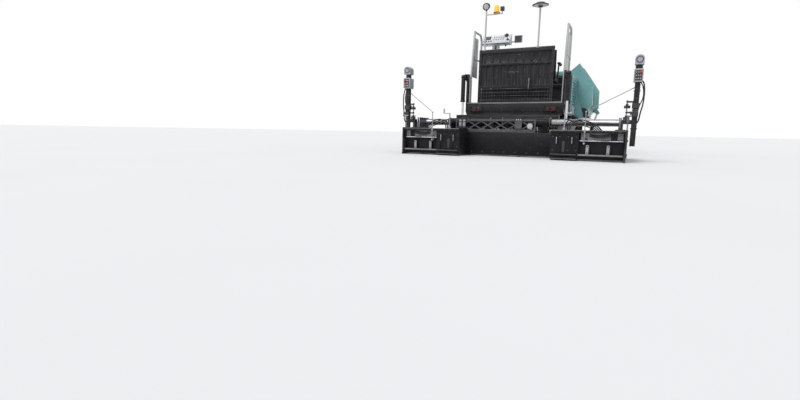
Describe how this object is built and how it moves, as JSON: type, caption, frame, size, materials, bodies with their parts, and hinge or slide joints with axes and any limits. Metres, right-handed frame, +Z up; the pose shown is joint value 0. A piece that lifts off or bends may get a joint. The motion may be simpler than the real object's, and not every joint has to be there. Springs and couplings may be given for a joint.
{
  "type": "tracked asphalt paver",
  "caption": "Compact tracked asphalt paver with raised hopper wings, augers and a floating screed with sliding extensions.",
  "frame": {"origin": "on the ground in the middle of the footprint, as the screed stands in the picture", "axes": "+Y in the paving direction from the screed to the push rollers, +X to the machine's right, +Z up"},
  "size_m": [3.1026, 5, 2.3495],
  "materials": {
    "frame_black": "matt, oily and dusty",
    "screed_black": "matt, caked with bitumen",
    "body_green": "semi-gloss, dusty",
    "track_black": "dusty rubber pads on steel shoes",
    "wheel_steel": "worn",
    "rail_grey": "worn paint",
    "console_silver": "satin",
    "control_grey": "satin",
    "rod_chrome": "polished",
    "guide_steel": "ground",
    "wear_steel": "polished by asphalt",
    "beam_grey": "worn grey paint",
    "engine_grey": "oily",
    "lamp_black": "matt",
    "beacon_amber": "clear tinted lens",
    "exhaust_steel": "heat stained",
    "seat_black": "worn vinyl"
  },
  "bodies": {
    "tractor": {"chassis": "frame_black", "lift_towers": "frame_black", "track_left": "track_black", "track_right": "track_black", "undercarriage_left": "wheel_steel", "undercarriage_right": "wheel_steel", "platform": "frame_black", "guard_wall": "frame_black", "handrails": "rail_grey", "lamp_masts": "rail_grey", "work_lamps": "lamp_black", "beacon": "beacon_amber", "engine": "engine_grey", "side_panels": "body_green", "seat_bases": "frame_black", "hopper_base": "body_green", "conveyor": "wear_steel", "auger_carrier": "frame_black"},
    "hopper_wing_left": {"hopper_wing_left": "body_green"},
    "hopper_wing_right": {"hopper_wing_right": "body_green"},
    "wing_ram_left": {"wing_ram_left": "frame_black"},
    "wing_ram_right": {"wing_ram_right": "frame_black"},
    "wing_rod_left": {"wing_rod_left": "rod_chrome"},
    "wing_rod_right": {"wing_rod_right": "rod_chrome"},
    "screed": {"tow_arms": "frame_black", "screed_main": "screed_black", "screed_sole": "wear_steel", "screed_guides": "screed_black", "truss_beam": "beam_grey"},
    "lift_ram_left": {"lift_ram_left": "frame_black"},
    "lift_ram_right": {"lift_ram_right": "frame_black"},
    "lift_rod_left": {"lift_rod_left": "rod_chrome"},
    "lift_rod_right": {"lift_rod_right": "rod_chrome"},
    "extension_left": {"extension_left": "screed_black", "extension_sole_left": "wear_steel", "extension_guide_left": "guide_steel", "control_post_left": "control_grey"},
    "extension_right": {"extension_right": "screed_black", "extension_sole_right": "wear_steel", "extension_guide_right": "guide_steel", "control_post_right": "control_grey"},
    "end_gate_left": {"end_gate_left": "frame_black"},
    "end_gate_right": {"end_gate_right": "frame_black"},
    "auger_left": {"auger_left": "wear_steel"},
    "auger_right": {"auger_right": "wear_steel"},
    "push_beam": {"push_beam": "frame_black"},
    "push_roller_left": {"push_roller_left": "wheel_steel"},
    "push_roller_right": {"push_roller_right": "wheel_steel"},
    "hood": {"hood": "body_green", "exhaust": "exhaust_steel"},
    "console": {"console": "console_silver"},
    "seat_left": {"seat_left": "seat_black"},
    "seat_right": {"seat_right": "seat_black"}
  },
  "joints": [
    {"name": "hopper_wing_left_raise", "type": "hinge", "parent": "tractor", "child": "hopper_wing_left", "pos_m": [-1.125, 0, 0.7], "axis": [0, 1, 0], "range_deg": [-50, 15]},
    {"name": "wing_ram_left_swing", "type": "hinge", "parent": "tractor", "child": "wing_ram_left", "pos_m": [-1.155, 1.73923, 0.25], "axis": [0, -1, 0], "range_deg": [-8, 8]},
    {"name": "wing_rod_left_slide", "type": "slide", "parent": "wing_ram_left", "child": "wing_rod_left", "axis": [-0.2579, 0, 0.9662], "range_m": [-0.16, 0.06]},
    {"name": "hopper_wing_right_raise", "type": "hinge", "parent": "tractor", "child": "hopper_wing_right", "pos_m": [0.675, 0, 0.7], "axis": [0, -1, 0], "range_deg": [-50, 15]},
    {"name": "wing_ram_right_swing", "type": "hinge", "parent": "tractor", "child": "wing_ram_right", "pos_m": [0.705, 1.73923, 0.25], "axis": [0, 1, 0], "range_deg": [-8, 8]},
    {"name": "wing_rod_right_slide", "type": "slide", "parent": "wing_ram_right", "child": "wing_rod_right", "axis": [0.2579, 0, 0.9662], "range_m": [-0.16, 0.06]},
    {"name": "screed_lift", "type": "hinge", "parent": "tractor", "child": "screed", "pos_m": [-0.225, 0.25, 0.56], "axis": [-1, 0, 0], "range_deg": [0, 10]},
    {"name": "lift_ram_left_swing", "type": "hinge", "parent": "tractor", "child": "lift_ram_left", "pos_m": [-1.04, -1.1, 1.215], "axis": [1, 0, 0], "range_deg": [-2, 2]},
    {"name": "lift_rod_left_slide", "type": "slide", "parent": "lift_ram_left", "child": "lift_rod_left", "axis": [0, 0, 1], "range_m": [-0.01, 0.25]},
    {"name": "lift_ram_right_swing", "type": "hinge", "parent": "tractor", "child": "lift_ram_right", "pos_m": [0.59, -1.1, 1.215], "axis": [1, 0, 0], "range_deg": [-2, 2]},
    {"name": "lift_rod_right_slide", "type": "slide", "parent": "lift_ram_right", "child": "lift_rod_right", "axis": [0, 0, 1], "range_m": [-0.01, 0.25]},
    {"name": "extension_left_slide", "type": "slide", "parent": "screed", "child": "extension_left", "axis": [-1, 0, 0], "range_m": [-0.34, 0.48]},
    {"name": "extension_right_slide", "type": "slide", "parent": "screed", "child": "extension_right", "axis": [1, 0, 0], "range_m": [-0.79, 0.03]},
    {"name": "end_gate_left_float", "type": "slide", "parent": "extension_left", "child": "end_gate_left", "axis": [0, 0, 1], "range_m": [0, 0.06]},
    {"name": "end_gate_right_float", "type": "slide", "parent": "extension_right", "child": "end_gate_right", "axis": [0, 0, 1], "range_m": [0, 0.06]},
    {"name": "auger_left_spin", "type": "hinge", "parent": "tractor", "child": "auger_left", "pos_m": [-0.625, -1.45, 0.3], "axis": [1, 0, 0], "continuous": true},
    {"name": "auger_right_spin", "type": "hinge", "parent": "tractor", "child": "auger_right", "pos_m": [0.175, -1.45, 0.3], "axis": [1, 0, 0], "continuous": true},
    {"name": "push_beam_swivel", "type": "hinge", "parent": "tractor", "child": "push_beam", "pos_m": [-0.225, 2.192, 0.6], "axis": [0, 0, 1], "range_deg": [-5, 5]},
    {"name": "push_roller_left_spin", "type": "hinge", "parent": "push_beam", "child": "push_roller_left", "pos_m": [-0.55, 2.42, 0.5], "axis": [1, 0, 0], "continuous": true},
    {"name": "push_roller_right_spin", "type": "hinge", "parent": "push_beam", "child": "push_roller_right", "pos_m": [0.1, 2.42, 0.5], "axis": [1, 0, 0], "continuous": true},
    {"name": "hood_lid", "type": "hinge", "parent": "tractor", "child": "hood", "pos_m": [-0.225, 0.528, 1.356], "axis": [-1, 0, 0], "range_deg": [0, 60]},
    {"name": "console_slide", "type": "slide", "parent": "tractor", "child": "console", "axis": [1, 0, 0], "range_m": [0, 0.84]},
    {"name": "seat_left_swivel", "type": "hinge", "parent": "tractor", "child": "seat_left", "pos_m": [-0.62, -0.67, 0.9], "axis": [0, 0, 1], "range_deg": [-90, 90]},
    {"name": "seat_right_swivel", "type": "hinge", "parent": "tractor", "child": "seat_right", "pos_m": [0.17, -0.67, 0.9], "axis": [0, 0, 1], "range_deg": [-90, 90]}
  ],
  "couplings": [
    {"joint": "wing_ram_left_swing", "follows": "hopper_wing_left_raise", "ratio": -0.1013},
    {"joint": "wing_rod_left_slide", "follows": "hopper_wing_left_raise", "m_per_rad": 0.159},
    {"joint": "wing_ram_right_swing", "follows": "hopper_wing_right_raise", "ratio": -0.1013},
    {"joint": "wing_rod_right_slide", "follows": "hopper_wing_right_raise", "m_per_rad": 0.159},
    {"joint": "lift_ram_left_swing", "follows": "screed_lift", "ratio": 0.03},
    {"joint": "lift_rod_left_slide", "follows": "screed_lift", "m_per_rad": 1.351},
    {"joint": "lift_ram_right_swing", "follows": "screed_lift", "ratio": 0.03},
    {"joint": "lift_rod_right_slide", "follows": "screed_lift", "m_per_rad": 1.351}
  ]
}
